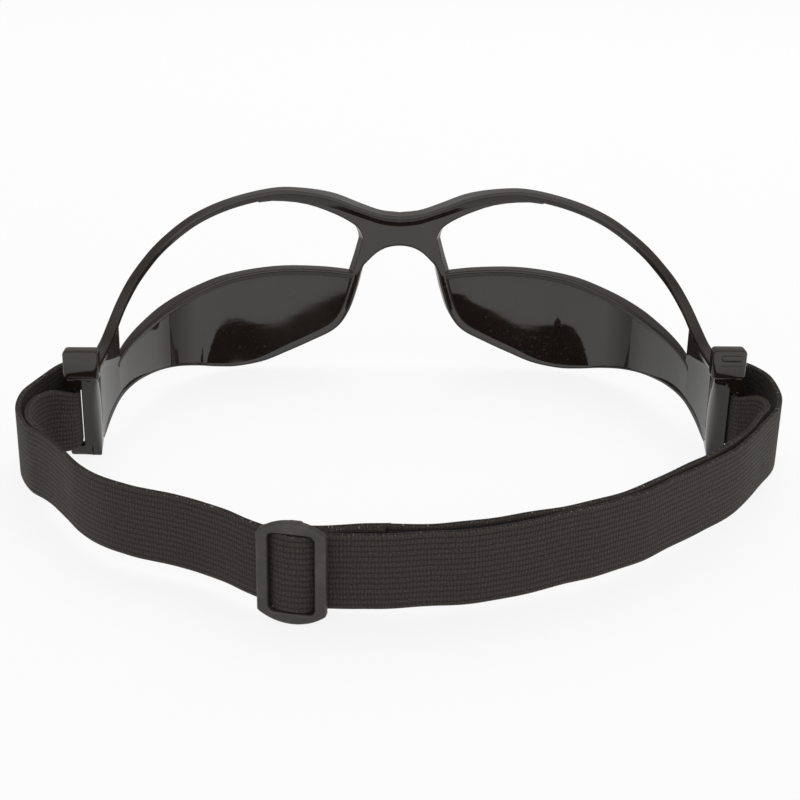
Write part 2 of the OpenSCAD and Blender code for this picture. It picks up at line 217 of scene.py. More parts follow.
def makeThread():
    p = Paint(bpy.data.materials.new("black_thread"))
    along, across = p.attribute("along"), p.attribute("across")
    ply = ((along / thread["twist"] + across) * (2 * math.pi)).sine() * 0.5 + 0.5
    fuzz = p.noise(p.place(), 5200.0, 2.0)
    colour = p.blendColours(ply * 0.7 + fuzz * 0.3, thread["dark"], thread["light"])
    return p.finish(colour, 0.7 + fuzz * 0.15, p.bump(ply, 0.00008, 0.8), Sheen_Weight=0.2)


# The wall of the frame is three arcs in plan. On it s runs from the bridge to the temple, depth inwards
wrap = {"frontY": 69.0, "frontR": 155.0, "frontEnd": 15.0, "cornerR": 33.0, "cornerEnd": 66.5,
        "sideR": 104.0, "sideEnd": 88.0}
frontS = wrap["frontR"] * math.radians(wrap["frontEnd"])
cornerS = frontS + wrap["cornerR"] * math.radians(wrap["cornerEnd"] - wrap["frontEnd"])
templeS = cornerS + wrap["sideR"] * math.radians(wrap["sideEnd"] - wrap["cornerEnd"])


def facing(turn):
    return Vector((math.sin(turn), math.cos(turn)))


frontC = Vector((0.0, wrap["frontY"] - wrap["frontR"]))
cornerC = frontC + (wrap["frontR"] - wrap["cornerR"]) * facing(math.radians(wrap["frontEnd"]))
sideC = cornerC + (wrap["cornerR"] - wrap["sideR"]) * facing(math.radians(wrap["cornerEnd"]))


def onWall(s, depth, z, side=1):
    if s < 0:
        s, side = -s, -side
    if s < frontS:
        centre, radius, turn = frontC, wrap["frontR"], s / wrap["frontR"]
    elif s < cornerS:
        centre, radius = cornerC, wrap["cornerR"]
        turn = math.radians(wrap["frontEnd"]) + (s - frontS) / radius
    else:
        centre, radius = sideC, wrap["sideR"]
        turn = math.radians(wrap["cornerEnd"]) + (s - cornerS) / radius
    p = centre + (radius - depth) * facing(turn)
    return Vector((side * p.x, p.y, z)) * mm


# Outlines are [s, value] pairs, read with a smooth curve between them
def at(table, s):
    i = 0
    while i < len(table) - 2 and s >= table[i + 1][0]:
        i += 1
    step = table[i + 1][0] - table[i][0]
    u = (s - table[i][0]) / step
    v = 1 - u

    def rise(a, b):
        a, b = max(a, 0), min(b, len(table) - 1)
        return (table[b][1] - table[a][1]) / (table[b][0] - table[a][0])
    return (table[i][1] * (1 + 2 * u) * v * v + rise(i - 1, i + 1) * step * u * v * v
            + table[i + 1][1] * u * u * (3 - 2 * u) - rise(i, i + 2) * step * u * u * v)


def smoothLine(points, parts):
    line = []
    last = len(points) - 1
    for i in range(last):
        a, b, c, d = (Vector(points[k]) for k in (max(i - 1, 0), i, i + 1, min(i + 2, last)))
        for k in range(parts):
            u = k / parts
            bend = (2 * a - 5 * b + 4 * c - d) * u * u + (3 * b - a - 3 * c + d) * u ** 3
            line.append((2 * b + (c - a) * u + bend) / 2)
    return line + [Vector(points[-1])]


def spaced(line, gap):
    # the same line with points an even gap apart
    lengths = [0.0]
    for a, b in zip(line, line[1:]):
        lengths.append(lengths[-1] + (b - a).length)
    count = max(2, round(lengths[-1] / gap))
    made, i = [], 0
    for k in range(count + 1):
        want = lengths[-1] * k / count
        while i < len(line) - 2 and lengths[i + 1] < want:
            i += 1
        made.append(line[i].lerp(line[i + 1], (want - lengths[i]) / (lengths[i + 1] - lengths[i])))
    return made


def wayAt(line, i):
    return (line[min(i + 1, len(line) - 1)] - line[max(i - 1, 0)]).normalized()


def steps(low, high, count):
    return [low + (high - low) * k / count for k in range(count + 1)]


def eased(corners, radius, parts=3):
    # a ring of points round the corners, each corner rounded off, with a point beside it on both sides
    ring = []
    for i, corner in enumerate(corners):
        here, before, after = Vector(corner), Vector(corners[i - 1]), Vector(corners[(i + 1) % len(corners)])
        back, on = before - here, after - here
        r = min(radius, back.length * 0.3, on.length * 0.3)
        a, b = here + back.normalized() * r, here + on.normalized() * r
        ring.append(a + back.normalized() * r * 0.6)
        for u in steps(0, 1, parts):
            ring.append(a * (1 - u) ** 2 + here * 2 * u * (1 - u) + b * u * u)
        ring.append(b + on.normalized() * r * 0.6)
    return ring


def newMesh(*marks):
    # a bmesh whose points carry the named marks
    bm = bmesh.new()
    for name in marks:
        bm.verts.layers.float.new(name)
    return bm


def sweep(bm, rings, marks=None, names=("along", "across")):
    # one ring of points drawn out from station to station, closed at both ends
    layers = [bm.verts.layers.float.get(name) for name in names if marks]
    first = [bm.verts.new(p) for p in rings[0]]
    cap = bm.faces.new(first)
    if marks:
        for v, values in zip(first, marks[0]):
            for layer, value in zip(layers, values):
                v[layer] = value
    for n, ring in enumerate(rings[1:], 1):
        cap = bmesh.ops.extrude_discrete_faces(bm, faces=[cap])["faces"][0]
        for i, v in enumerate(cap.verts):
            v.co = ring[i]
            if marks:
                for layer, value in zip(layers, marks[n][i]):
                    v[layer] = value
    bm.faces.new(list(reversed(first)))


def roundEdges(bm, edges, radius, segments=3):
    bmesh.ops.bevel(bm, geom=edges, offset=radius * mm, affect="EDGES", segments=segments, profile=0.5,
                    material=-1)


def addMesh(bm, part):
    held = bpy.data.meshes.new("held")
    part.to_mesh(held)
    part.free()
    bm.from_mesh(held)
    bpy.data.meshes.remove(held)


def finishPiece(bm, name, material, sharp=42.0):
    bmesh.ops.recalc_face_normals(bm, faces=bm.faces)
    mesh = bpy.data.meshes.new(name)
    bm.to_mesh(mesh)
    bm.free()
    mesh.materials.append(material)
    mesh.shade_smooth()
    mesh.set_sharp_from_angle(angle=math.radians(sharp))
    piece = bpy.data.objects.new(name, mesh)
    bpy.context.collection.objects.link(piece)
    return piece


# The black moulding: sizes in mm. H is a height, D a depth inwards, W a width, T a thickness.
# The leans tip the shine; the crease is the dark line under the ledge, which hides a part of its overhang
moulding = {
    "browH": 47.7, "railH": 2.8, "railSlope": 0.7, "railD": 4.0, "railSideD": 2.8, "ledgeD": 6.4,
    "shieldT": 1.9, "shieldH": 27.4, "beadH": 1.7, "beadD": 1.5, "skinD": 0.6, "rimW": 1.9, "rimD": 4.4,
    "archH": 32.8, "sideT": 1.8, "eyeEnd": 90.0, "lap": 2.0,
    "eyeCorner": (9.5, 35.0), "eyeSlant": 0.27,
    "noseLean": 0.15, "shineEnd": 64.9, "creaseH": 0.2, "creaseLean": 0.03, "ledgeHides": 0.27,
}
m = moulding
browTop = [[s, m["browH"] - d] for s, d in (
    (0, 7), (5, 6.4), (10, 4.6), (17, 1.8), (25, 0.3), (32, 0), (42, 1.7), (52.7, 4.7), (63, 8.8), (71, 11.9),
    (79, 15), (86, 18.5), (92, 21.8), (98, 24.3), (templeS, 25.7), (templeS + 4, 26))]
shieldTop = [[s, m["shieldH"] - d] for s, d in (
    (10, 2), (20, 0.6), (32, 0), (44.7, 1.2), (54, 3.1), (64.3, 5.2), (73.3, 6.8), (79, 7.8), (85, 9.2),
    (m["eyeEnd"], 11), (m["eyeEnd"] + 2, 12))]
noseSide = [[s, m["archH"] - d] for s, d in ((11.4, 12), (13.5, 18), (16.9, 22.4))]
noseSide += [[23.2, 7.2], [29.7, 4.5], [36, 2.3]]
bottomEdge = [[10, m["archH"] - 6.6]] + noseSide + [
    [43, 1.5], [49, 2.2], [55, 3.6], [62, 5.1], [69, 6.2], [75, 6.9], [82, 7.3], [90, 6.8], [98, 4.8],
    [103, 2.8], [templeS, 0], [templeS + 2, 0]]
archTop = [[s, m["archH"] - d] for s, d in ((0, 0), (3.4, 0.5), (6.2, 2), (9, 4.7))]
noseEdge = archTop[2:] + [[10.1, m["archH"] - 6.9]] + noseSide
archLow = [[-3.4, m["archH"] - 0.5]] + archTop
cornerLow = [[9.1, 31.2], [9.5, 34.4], [9.6, 35.1], [10.0, 36.2], [10.6, 37.2], [11.8, 38.3], [13.3, 39.3],
             [17, 41.2], [24, 43.8], [32, 44.9], [37, 44.6]]
railHeight = [[0, 2.4], [12, 2.3], [24, m["railH"] - 0.2], [32, m["railH"]], [80, m["railH"]],
              [m["eyeEnd"], m["railH"] - 0.3], [templeS, m["railH"] + 0.6], [templeS + 4, m["railH"] + 0.6]]
railDepth = [[0, m["railD"] + 0.8], [7, m["railD"] + 1.2], [15, m["ledgeD"]], [24, m["railD"] + 0.8],
             [32, m["railD"]], [53, m["railD"] - 1], [66, m["railSideD"] - 0.3], [80, m["railSideD"] - 0.3],
             [templeS, m["railSideD"]], [templeS + 4, m["railSideD"]]]
rimDepth = [[0, m["rimD"]], [9, m["rimD"]], [13, m["rimD"] - 0.7], [20, m["rimD"] - 1.1],
            [38, m["shieldT"] + 0.9], [60, m["shieldT"] + 0.8], [m["eyeEnd"], m["sideT"] + 0.3],
            [templeS - 5, m["sideT"] + 0.1], [templeS, 0.4], [templeS + 2, 0.3]]
sheetDepth = [[10, m["skinD"] + m["shieldT"]], [66, m["skinD"] + m["shieldT"]], [86, m["sideT"] + 0.05],
              [m["eyeEnd"] + 2, m["sideT"]]]
beadDepth = [[10, m["beadD"]], [58, m["beadD"]], [78, m["beadD"] - 0.6], [m["eyeEnd"], 0.15],
             [m["eyeEnd"] + 2, 0.1]]
bodyDepth = [[0, 4.3], [9, 4.3], [17, 4.1], [24, 3.7], [37, 3.0]]
draftOut = [[8.9, 1.1], [11, 0.9], [17, 0.4], [37, 0.1]]
draftIn = [[0, 0.0], [5, 0.15], [9.1, 0.8]]
leaning = [[10, 0.145], [16, 0.15], [24, 0.17], [32, 0.19], [48, 0.2], [55, 0.33], [59, 0.5],
           [m["shineEnd"], 0.55], [m["shineEnd"] + 0.1, -0.1], [90, -0.1], [100, 0]]


def browRail(bm):
    rings = []
    for s in steps(-templeS - 2, templeS + 2, 150):
        a = abs(s)
        top, deep = at(browTop, a), at(railDepth, a)
        low = top - at(railHeight, a)
        back = [(deep - 0.15, top - 0.2), (deep, top - 1.0), (deep - 0.2, low + m["railSlope"])]
        rings.append([onWall(s, d, z) for d, z in eased([(0, low), (0, top)] + back, 0.5)])
    sweep(bm, rings)


def bridgeBody(bm):
    # upright cuts from one brow to the other: the arch below them, then the corner of the eye opening
    half = steps(0, 9, 9) + [9.1, 9.3, 9.5, 9.65, 10, 10.6, 11.2, 12, 13.3, 15, 17, 19, 21.5]
    half += [24, 27, 30, 33, 36.5]
    rings, marks = [], []
    for s in [-x for x in reversed(half[1:])] + half:
        a, side = abs(s), math.copysign(1, s)
        nose = a <= 9
        low, high, deep = at(archLow if nose else cornerLow, a), at(browTop, a) - 1, at(bodyDepth, a)
        out, drop = (0, at(draftIn, a)) if nose else (at(draftOut, a), 0)
        ledge = high + 1 - at(railHeight, a)
        fall = m["creaseH"] + (at(railDepth, a) - deep) * m["ledgeHides"]
        crease = [(deep, max(ledge - fall, low + 0.4)), (deep, max(ledge - (fall + 0.12), low + 0.3))]
        ring = eased([(0.1, low - drop), (0.1, high), (deep, high), *crease, (deep, low)], 0.4)
        rings.append([onWall((a + out * (1 - d / m["rimD"])) * side, d, z) for d, z in ring])
        marks.append([(m["creaseLean"] if z > crease[0][1] - 0.06 else m["noseLean"],) for d, z in ring])
    sweep(bm, rings, marks, ("lean",))


def shieldSheet(bm):
    stations = steps(10.9, 24, 14) + steps(25.2, m["eyeEnd"] + 1, 50) + [m["shineEnd"], m["shineEnd"] + 0.1]
    rings, marks = [], []
    for s in sorted(stations):
        low = min(at(bottomEdge, max(s - 0.6, 10)) + 0.6, at(shieldTop, s) - 2.5)
        high, deep = at(shieldTop, s) - 0.4, at(sheetDepth, s)
        ring = eased([(m["skinD"], low), (m["skinD"], high), (deep, high), (deep, low)], 0.3, 2)
        rings.append([onWall(s, d, z) for d, z in ring])
        marks.append([(at(leaning, s),) for q in ring])
    sweep(bm, rings, marks, ("lean",))


def shieldBead(bm):
    rings = []
    for s in steps(10.6, m["eyeEnd"] + 0.8, 56):
        z, deep = at(shieldTop, s), at(sheetDepth, s) + at(beadDepth, s)
        corners = [(0.4, z - m["beadH"] - 0.3), (0.4, z), (deep, z - 0.2), (deep, z - m["beadH"])]
        rings.append([onWall(s, d, h) for d, h in eased(corners, 0.55)])
    sweep(bm, rings)


def lowerRim(bm):
    # from inside the bridge down the side of the nose, along the bottom and on to the temple
    edge = [Vector(p) for p in noseEdge] + [Vector(p) for p in bottomEdge if 40 < p[0] < templeS + 1]
    line = spaced(smoothLine(edge, 8), 1.1)
    outward = [[6, 1.0], [17, 0.6], [25, 0.0], [40, 0.0]]
    inward = [[7.6, 0], [9.2, 0.5], [10.4, 0.9], [17, 0.6], [25, 0.0], [40, 0.0]]
    slant = m["eyeSlant"]
    rings = []
    for i, p in enumerate(line):
        way = wayAt(line, i)
        across = Vector((-way.y, way.x))
        toEye = m["eyeCorner"][0] + (m["eyeCorner"][1] - p.y) * slant - p.x
        wide = max(m["rimW"], toEye / max(across.x + slant * across.y, 0.3))
        deep, reach = min(at(rimDepth, p.x), m["rimD"] - 0.13), min(p.x, 40)
        fall = 0.4 * min(max((p.x - 8) / 6, 0), 1)
        corners = [(-at(inward, reach), 0), (wide + at(outward, reach), 0), (wide, deep - fall), (0, deep)]
        rings.append([onWall((p + across * w).x, d, (p + across * w).y) for w, d in eased(corners, 0.5)])
    sweep(bm, rings, [[(m["noseLean"],)] * len(rings[0])] * len(rings), ("lean",))


def sidePlate(bm):
    thick = [[m["eyeEnd"] - 1, m["sideT"]], [98, m["sideT"]], [templeS, m["lap"] - 0.2],
             [templeS + 3, m["lap"] - 0.2]]
    rings = []
    for k, s in enumerate(steps(m["eyeEnd"], templeS - flange["barLong"] + 0.3, 14)):
        low, high, deep = at(bottomEdge, s) + 0.5, at(browTop, s) - 0.6, at(thick, s)
        tuck = 0.35 if k == 0 else 0
        ring = eased([(0.25, low), (0.25, high), (deep, high), (deep, low)], 0.3, 2)
        rings.append([onWall(s - tuck, d, z) for d, z in ring])
    sweep(bm, rings)


# Flange with the strap slot, block over it, and the pad on the right block
flange = {
    "thick": 3.0, "barW": 3.6, "barLong": 4.5, "scoop": 1.7, "slotW": 1.9, "slotH": 13.4, "postW": 1.4,
    "tabH": 2.4, "blockD": 2.9, "leanBar": -0.25, "leanBlock": 0.16,
    "right": {"inner": 8.4, "outer": 1.0, "z": 20.1, "high": 6.8},
    "left": {"inner": 7.8, "outer": 0.0, "z": 18.9, "high": 6.9},
    "padLong": 4.7, "padHigh": 1.5, "padIn": 1.0,
}
temple = onWall(templeS, 0, 0) / mm
barX = temple.x - m["lap"]
slotX = barX + flange["barW"]
flangeOut = slotX + flange["slotW"] + flange["postW"]
roofZ = flange["tabH"] + flange["slotH"]


def roundedBox(bm, low, high, radius, segments=4):
    low, high = Vector(low), Vector(high)
    made = bmesh.ops.create_cube(bm, size=1.0)["verts"]
    bmesh.ops.scale(bm, vec=(high - low) * mm, verts=made)
    bmesh.ops.translate(bm, vec=(low + high) / 2 * mm, verts=made)
    roundEdges(bm, list({e for v in made for e in v.link_edges}), radius, segments)


def loopOf(bm, points):
    verts = [bm.verts.new(p) for p in points]
    return [bm.edges.new((verts[i - 1], verts[i])) for i in range(len(verts))]


def plateWithHole(bm, outer, inner, placed, thick, ease):
    # ring face between two outlines, drawn out to a plate with rounded edges
    edges = [e for line in (outer, inner) for e in loopOf(bm, [placed(x, z, 0) for x, z in line])]
    faces = bmesh.ops.bridge_loops(bm, edges=edges)["faces"]
    made = bmesh.ops.extrude_face_region(bm, geom=faces)["geom"]
    away = placed(0, 0, thick) - placed(0, 0, 0)
    bmesh.ops.translate(bm, vec=away, verts=[g for g in made if isinstance(g, bmesh.types.BMVert)])
    bmesh.ops.recalc_face_normals(bm, faces=bm.faces)
    caps = set(faces) | {g for g in made if isinstance(g, bmesh.types.BMFace)}
    roundEdges(bm, [e for f in caps for e in f.edges if any(g not in caps for g in e.link_faces)], ease)


def markLean(bm, first, amount):
    bm.verts.ensure_lookup_table()
    lean = bm.verts.layers.float["lean"]
    for v in bm.verts[first:]:
        v[lean] = amount


def slotPlate(bm, block):
    part = bmesh.new()
    y, top = temple.y + flange["thick"], block["z"] + 3
    outer = eased([(slotX - 1.5, 0), (slotX - 1.5, top), (flangeOut, top), (flangeOut, 0)], 0.7, 4)
    far = slotX + flange["slotW"]
    slot = eased([(slotX, flange["tabH"]), (slotX, roofZ), (far, roofZ), (far, flange["tabH"])], 0.6, 4)
    plateWithHole(part, outer, slot, lambda x, z, d: Vector((x, y - d, z)) * mm, flange["thick"], 0.45)
    addMesh(bm, part)


def barPlan(z):
    # plan of the bar, anticlockwise from the wall: flat at the back, its inner corner scooped out most
    # at half height. Its faces stand a little off those of the plate, so that no two lie in one plane
    back, front = temple.y - 0.06, temple.y + flange["thick"] - 0.02
    start = onWall(templeS - flange["barLong"], m["sideT"], 0) / mm
    scoop = math.sin(math.pi * min(max(z / 18.5, 0), 1)) ** 0.8
    wide, long = 0.5 + flange["scoop"] * scoop, 0.6 + (start.y - back - 0.7) * scoop
    corner = [Vector((start.x + wide * (1 - math.cos(a)), back + long * (1 - math.sin(a))))
              for a in steps(0, math.pi / 2, 12)]
    outside = [(onWall(s, 0.12, 0) / mm).to_2d() for s in steps(templeS, templeS - flange["barLong"], 5)]
    slotSide = [Vector(q) for q in ((slotX - 0.15, back), (slotX + 0.04, back + 0.2), (slotX + 0.04, front))]
    return [start.to_2d()] + corner + slotSide + outside


def bottomOfBar(q):
    return at(bottomEdge, min(templeS, templeS - (q.y - temple.y))) if q.y > temple.y + 0.5 else 0.04


def slotBar(bm, block):
    bar = bmesh.new()
    rings = [[Vector((q.x, q.y, bottomOfBar(q))) * mm for q in barPlan(0)]]
    for z in (3.2, 4.5, 6, 7.5, 9, 10.5, 12, 13.5, 15, 16.5, 18.5, block["z"] + 0.8):
        rings.append([Vector((q.x, q.y, z)) * mm for q in barPlan(z)])
    sweep(bar, rings)
    foot = [e for e in bar.edges if e.is_manifold and max(v.co.z for v in e.verts) < 0.005]
    roundEdges(bar, [e for e in foot if e.calc_face_angle() > 1.0], 0.35)
    addMesh(bm, bar)


def templeBlock(bm, block, padded):
    y = temple.y
    low = Vector((flangeOut - block["inner"], y - flange["blockD"], block["z"]))
    high = Vector((flangeOut - block["outer"], y + 1.2, block["z"] + block["high"]))
    roundedBox(bm, low, high, 0.9)
    behind = (high.x - 0.3, y + flange["thick"] - 0.1, high.z - 1.2)
    roundedBox(bm, (barX + 0.2, y + 0.6, block["z"]), behind, 0.6)
    if padded:
        x, z = high.x - flange["padIn"], high.z - flange["padIn"]
        start = x - flange["padLong"]
        roundedBox(bm, (start, low.y - 0.45, z - flange["padHigh"]), (x, low.y + 0.6, z), 0.5)
        roundedBox(bm, (start, low.y - 0.1, z - 2.6), (x + 0.2, low.y + 0.5, z - 2.35), 0.1, 2)
    else:
        ridge = (high.x - 1.2, low.y + 0.5, low.z + 1.15)
        roundedBox(bm, (low.x + 1.0, low.y - 0.07, low.z + 0.95), ridge, 0.07, 2)


def templeFlange(bm, right):
    block = flange["right" if right else "left"]
    known = len(bm.verts)
    slotPlate(bm, block)
    slotBar(bm, block)
    markLean(bm, known, flange["leanBar"])
    known = len(bm.verts)
    templeBlock(bm, block, right)
    markLean(bm, known, flange["leanBlock"])


def makeFrame():
    bm = newMesh("lean")
    browRail(bm)
    bridgeBody(bm)
    for right in (True, False):
        part = newMesh("lean")
        shieldSheet(part)
        shieldBead(part)
        lowerRim(part)
        sidePlate(part)
        templeFlange(part, right)
        if not right:
            bmesh.ops.scale(part, vec=(-1, 1, 1), verts=part.verts)
            bmesh.ops.reverse_faces(part, faces=part.faces)
        addMesh(bm, part)
    piece = finishPiece(bm, "goggle_frame", makeGlossBlack())
    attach(piece, "goggles")
    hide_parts("frame")


makeFrame()
print("frame moulded")


# The strap. Angles run from the middle of its back, + to the right as seen from behind
strap = {"wide": 15.0, "thick": 1.1, "centre": (-4.5, 12.0), "arcR": 77.2, "low": 2.75, "slideAt": -12.9,
         "gap": 1.0, "edgeR": 0.42}
slotMid = Vector((slotX + flange["slotW"] - 0.3 - strap["thick"] / 2, temple.y + flange["thick"] / 2))
elasticMaterial = makeElastic(strap["wide"])


def onArc(angle, radius):
    a = math.radians(angle)
    return Vector((strap["centre"][0] + radius * math.sin(a), strap["centre"][1] - radius * math.cos(a)))


def bySlot(side, out, forward):
    return Vector((side * (slotMid.x + out), slotMid.y + forward))


def arcLine(path, parts=6):
    return smoothLine([onArc(a, r) for a, r in path], parts)


def squeezed(p, pinch):
    # how wide the webbing is at a place: bunched up in the slots of the frame and at the slide's bar
    share = 1.0
    for spot, amount, reach in pinch:
        share -= amount * max(0.0, 1 - ((p - spot).length / reach) ** 2) ** 2
    return share


def webbingSection():
    # thickness and height round the webbing, with rounded selvedges
    t, w, r = strap["thick"] / 2, strap["wide"], strap["edgeR"]
    rungs = [r, 2.5, 5, 7.5, 10, 12.5, w - r]
    top = [(-t * 0.62, w - 0.08), (0, w), (t * 0.62, w - 0.08)]
    foot = [(t * 0.62, 0.08), (0, 0), (-t * 0.62, 0.08)]
    return [(-t, z) for z in rungs] + top + [(t, z) for z in reversed(rungs)] + foot


def webbing(name, line, body, along=0.0, spread=1.0, pinch=()):
    # a strap on edge along a line in plan, marked for the weave, which runs on from piece to piece.
    # Spread makes it wider, and pinch bunches it up at some places
    line = spaced(line, strap["gap"])
    bm = newMesh("along", "across")
    half = strap["wide"] / 2
    rings, marks = [], []
    run = along
    for i, p in enumerate(line):
        if i:
            run += (p - line[i - 1]).length
        way = wayAt(line, i)
        side = Vector((-way.y, way.x))
        wave = strap["low"] + 0.1 * math.sin(run * 0.21) + 0.07 * math.sin(run * 0.47 + 1)
        ring = []
        for d, z in webbingSection():
            q = p + side * d
            height = half + (z - half) * spread if spread > 1 else z * squeezed(p, pinch)
            ring.append(Vector((q.x, q.y, height + wave)) * mm)
        rings.append(ring)
        marks.append([(run, z) for d, z in webbingSection()])
    sweep(bm, rings, marks)
    piece = finishPiece(bm, name, elasticMaterial, 75.0)
    if body:
        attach(piece, body)
    return piece, run


def betweenBodies(piece, fromBody, toBody, start, end):
    # the piece follows one body at the start's place on the arc and the other at the end's
    places = [(*onArc(*spot) * mm, 0.01) for spot in (start, end)]
    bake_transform(piece, fromBody, toBody, *places)


bandPath = [(-62, 77.5), (-60.8, 77.3), (-58.5, 77.1), (-56.3, 77.1), (-51.5, 77.5), (-45.2, 77.3),
            (-40.8, 76.3), (-37, 75.0), (-33.1, 73.9), (-29, 73.4), (-24.5, 74.4), (-20.6, 76.2),
            (-17.6, 77.6), (-17.1, 77.8)]
windowPath = [(-17.1, 77.8), (-16.7, 78.0), (-15.9, 78.9), (-14.9, 79.9), (-13.9, 80.35), (-12.9, 80.4),
              (-11.9, 80.3), (-10.9, 79.8), (-9.9, 78.8), (-9.1, 78.1), (-8.7, 77.95)]
rightPath = [(-8.7, 77.95), (-8, 77.9), (-6, 77.8), (-4.3, 77.6), (1, 77.1), (9.1, 76.6), (14.9, 76.1),
             (21.1, 75.4), (26, 75.2), (31.1, 75.35), (38.7, 75.7), (45, 76.0), (50, 76.7), (52.6, 77.3)]
returnPath = [(53.5, 75.2), (47, 74.2), (38, 73.9), (27, 73.35), (17, 72.95), (8, 73.5), (3, 73.7),
              (-0.6, 73.75)]
seamPath = [(-65.2, 77.27), (-68.2, 78.47)]
leftTail = [bySlot(-1, *spot) for spot in (
    (6.6, -21.2), (7.7, -16), (7.5, -11), (5.7, -7.3), (2.2, -5.6), (0.3, -4.2), (0, -1.6), (0.28, 1.6),
    (1.25, 5), (2.6, 9.9), (4.0, 12), (5.9, 9.6), (7.5, 4.6), (9.2, -1), (10.4, -6.8), (10.5, -12),
    (9.6, -17.2), (7.8, -22.2))]
leftEnd = [onArc(*spot) for spot in ((-68, 79.75), (-65, 78.4), (-62.6, 77.65), (-62, 77.5))]
rightTurn = [onArc(*spot) for spot in ((52.6, 77.3), (57.6, 78.65), (63.5, 80.45), (71.1, 82.4))]
rightTurn += [bySlot(1, *spot) for spot in (
    (6.2, -13.6), (8.8, -4.6), (9, 5), (7.1, 12), (4.3, 14.9), (3.5, 12.6), (2.0, 7.4), (0, 1.6), (0, -1.6))]
innerLayer = [bySlot(1, *spot) for spot in (
    (0, -1.6), (0.4, -4.1), (2.3, -5.9), (4.3, -8.4), (4.4, -12.4), (1.5, -17.3))]
innerLayer += [onArc(*spot) for spot in [(70, 80.3), (63.5, 78.2), (57.5, 76.3)] + returnPath]
slotPinch = [(bySlot(side, 0, -0.5), 0.17, 8.0) for side in (1, -1)]

seam = [onArc(*spot) for spot in seamPath]
leftLine = seam[:1] + smoothLine(seam[1:] + leftTail + leftEnd, 5)
leftLoop, run = webbing("strap_left_turn", leftLine, "goggles", pinch=slotPinch)
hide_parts("strap_left_loop")
bandLeft, run = webbing("strap_behind_left", arcLine(bandPath), None, run)
betweenBodies(bandLeft, "goggles", "slide", (-61, 77), (-18, 77))
bandWindow, run = webbing("strap_in_slide", arcLine(windowPath), "slide", run, 1.03)
bandRight, run = webbing("strap_behind_right", arcLine(rightPath), None, run)
betweenBodies(bandRight, "slide", "goggles", (-7.6, 77), (51.5, 77))
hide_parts("strap_band")
rightLoop, run = webbing("strap_right_turn", smoothLine(rightTurn, 5), "goggles", run, pinch=slotPinch)
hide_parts("strap_right_loop")
returnLayer, run = webbing("strap_inner_layer", smoothLine(innerLayer, 6), None, run, pinch=slotPinch)
betweenBodies(returnLayer, "goggles", "slide", (52, 75), (-1, 74))
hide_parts("strap_return")
print("strap laid:", round(run), "mm")


# The slide's own frame: x along the strap, inward towards the head, z up from the strap's middle
slideSizes = {"wide": 12.8, "high": 20.2, "legTop": 8.8, "barR": 76.6, "thick": 2.0, "barW": 2.1,
              "centreW": 2.6, "centreT": 1.2, "outer": 81.0}
midZ = strap["low"] + strap["wide"] / 2
turnAt = math.radians(strap["slideAt"])


def bySlide(x, inward, z):
    along = Vector((math.cos(turnAt), math.sin(turnAt)))
    p = onArc(strap["slideAt"], slideSizes["outer"] - inward) + along * x
    return Vector((p.x, p.y, midZ + z)) * mm


def slideBlock(bm, low, high, ease):
    block = bmesh.new()
    bmesh.ops.create_cube(block, size=1.0)
    for v in block.verts:
        v.co = bySlide(*(a + (b - a) * (k + 0.5) for a, b, k in zip(low, high, v.co)))
    bmesh.ops.recalc_face_normals(block, faces=block.faces)
    roundEdges(block, block.edges[:], ease)
    addMesh(bm, block)


def makeSlide():
    g = slideSizes
    bm = bmesh.new()
    half, tall = g["wide"] / 2, g["high"] / 2
    corner = math.asin(half / tall)
    arch = [(tall * math.sin(a), tall * math.cos(a)) for a in steps(-corner, corner, 12)]
    outer = eased(arch + [(x, -z) for x, z in reversed(arch)], 0.9, 3)
    w, h = half - g["barW"], (strap["wide"] + 0.7) / 2
    window = eased([(-w, h), (w, h), (w, -h), (-w, -h)], 1.3, 6)
    plateWithHole(bm, outer, window, lambda x, z, d: bySlide(x, d, z), g["thick"], 0.5)
    # the centre bar stands inwards of the window, on a leg at either end
    back, bar = g["outer"] - g["barR"], g["centreW"] / 2
    for sign in (1, -1):
        slideBlock(bm, (-bar, 1.2, sign * h), (bar, back, sign * g["legTop"]), 0.3)
    slideBlock(bm, (-bar, back - g["centreT"], -h - 1), (bar, back, h + 1), 0.35)
    piece = finishPiece(bm, "strap_slide", makeSatinBlack())
    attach(piece, "slide")
    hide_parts("slide_buckle")


makeSlide()

# The end loop: out from its seam, round the centre bar and back. Radii of its two layers
backR, tailR = strap["arcR"] - 3.65, strap["arcR"] - 1.35


def inLayer(x, radius):
    # a point x along from the slide on a layer of that radius, as a plan point
    return (bySlide(x, slideSizes["outer"] - radius + x * x / 2 / radius, 0) / mm).to_2d()


def roundBar(angle):
    bend, a = (tailR - backR) / 2, math.radians(angle)
    x = -slideSizes["centreW"] / 2 - 0.1 + bend * math.cos(a)
    return inLayer(x, backR + bend - bend * math.sin(a))


endLine = [inLayer(x, backR) for x in (16.2, 13.7, 10, 6, 3, 1)] + [roundBar(a) for a in steps(110, 250, 7)]
endLine += [inLayer(1, tailR), inLayer(4, tailR - 0.3)]
endLine += [inLayer(8.4, backR + 1.25), inLayer(15.3, backR + 1.15)]
barPinch = [(inLayer(0, backR), 0.08, 12.0)]
endLoop, run = webbing("strap_end_turn", smoothLine(endLine, 4), "slide", run, pinch=barPinch)
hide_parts("strap_end_loop")
print("slide and end loop made")


# Seams: rows of zigzag stitches, each a short thread sunk at both ends
seams = {"stitches": 17, "thread": 0.17, "rise": 0.16, "sunk": 0.08, "off": 0.55, "margin": 1.2}
threadMaterial = makeThread()


